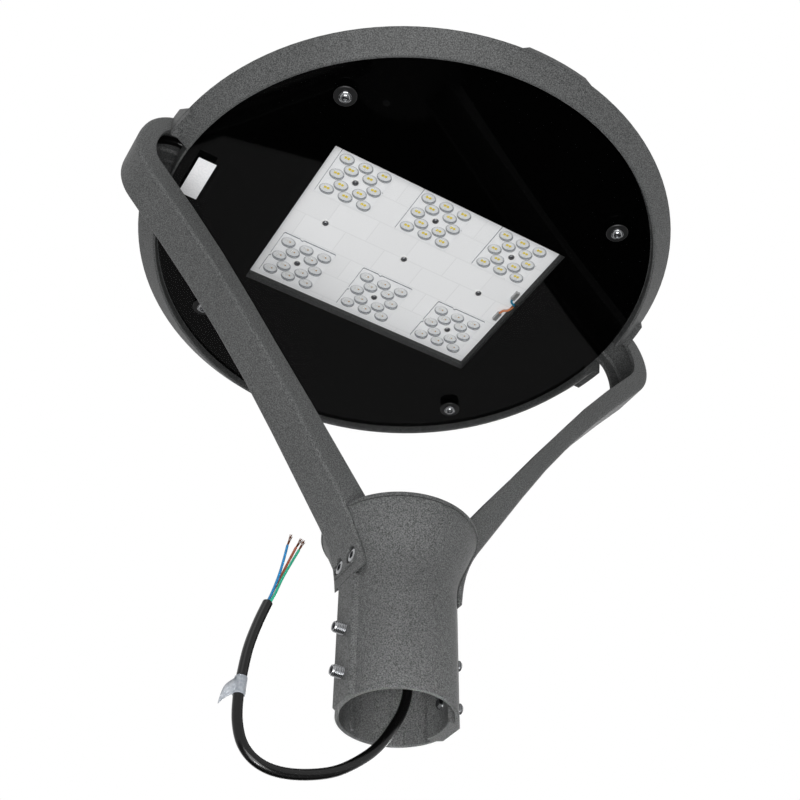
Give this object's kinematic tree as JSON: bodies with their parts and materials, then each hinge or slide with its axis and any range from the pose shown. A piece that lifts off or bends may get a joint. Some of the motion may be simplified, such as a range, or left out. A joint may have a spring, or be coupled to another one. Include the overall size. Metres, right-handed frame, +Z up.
{
  "type": "led park light",
  "caption": "Post-top LED park light: a round flat head with a black-printed glass front, held at both sides by curved channel arms on a flared pole socket.",
  "frame": {"origin": "centre of the pole socket's lower end", "axes": "+Z up along the pole's axis, X along the line of the two arms; the arm that the supply cable runs in is on -X"},
  "size_m": [0.4964, 0.4518, 0.5398],
  "materials": {
    "powder_coat_grey": "fine textured powder coat, satin",
    "black_printed_glass": "clear tempered glass, printed black behind, gloss",
    "black_rubber": "matt",
    "black_nylon": "satin",
    "stainless_steel": "bright",
    "white_label": "satin vinyl",
    "solder_mask_white": "satin",
    "led_phosphor": "satin",
    "clear_lens": "clear acrylic, gloss",
    "connector_plastic": "satin",
    "blue_insulation": "satin",
    "copper_insulation": "satin",
    "driver_case": "satin",
    "terminal_plastic": "satin",
    "cable_sheath": "matt",
    "tag_film": "translucent, satin",
    "brown_insulation": "satin",
    "earth_insulation": "green and yellow, satin"
  },
  "bodies": {
    "root": {"pole_socket": "powder_coat_grey", "socket_cap": "powder_coat_grey", "cap_screws": "stainless_steel", "set_screws": "stainless_steel", "arm_left": "powder_coat_grey", "arm_right": "powder_coat_grey", "arm_foot_screws": "stainless_steel", "arm_head_screws": "stainless_steel", "housing": "powder_coat_grey", "top_cover": "powder_coat_grey", "cover_gasket": "black_rubber", "cover_screws": "stainless_steel", "glass_pane": "black_printed_glass", "glass_gasket": "black_rubber", "glass_washers": "black_nylon", "glass_screws": "stainless_steel", "rating_label": "white_label", "led_board": "solder_mask_white", "board_screws": "stainless_steel", "led_chips": "led_phosphor", "led_connectors": "connector_plastic", "lens_array_1": "clear_lens", "lens_array_2": "clear_lens", "lens_array_3": "clear_lens", "lens_array_4": "clear_lens", "lens_array_5": "clear_lens", "lens_array_6": "clear_lens", "lens_screws": "stainless_steel", "led_wire_blue": "blue_insulation", "led_wire_copper": "copper_insulation", "driver": "driver_case", "driver_screws": "stainless_steel", "terminal_block": "terminal_plastic", "cord_clamp": "black_nylon", "clamp_screws": "stainless_steel", "cable_grommet": "black_rubber", "supply_cable": "cable_sheath", "cable_tag": "tag_film", "core_blue": "blue_insulation", "core_brown": "brown_insulation", "core_earth": "earth_insulation"}
  },
  "joints": []
}
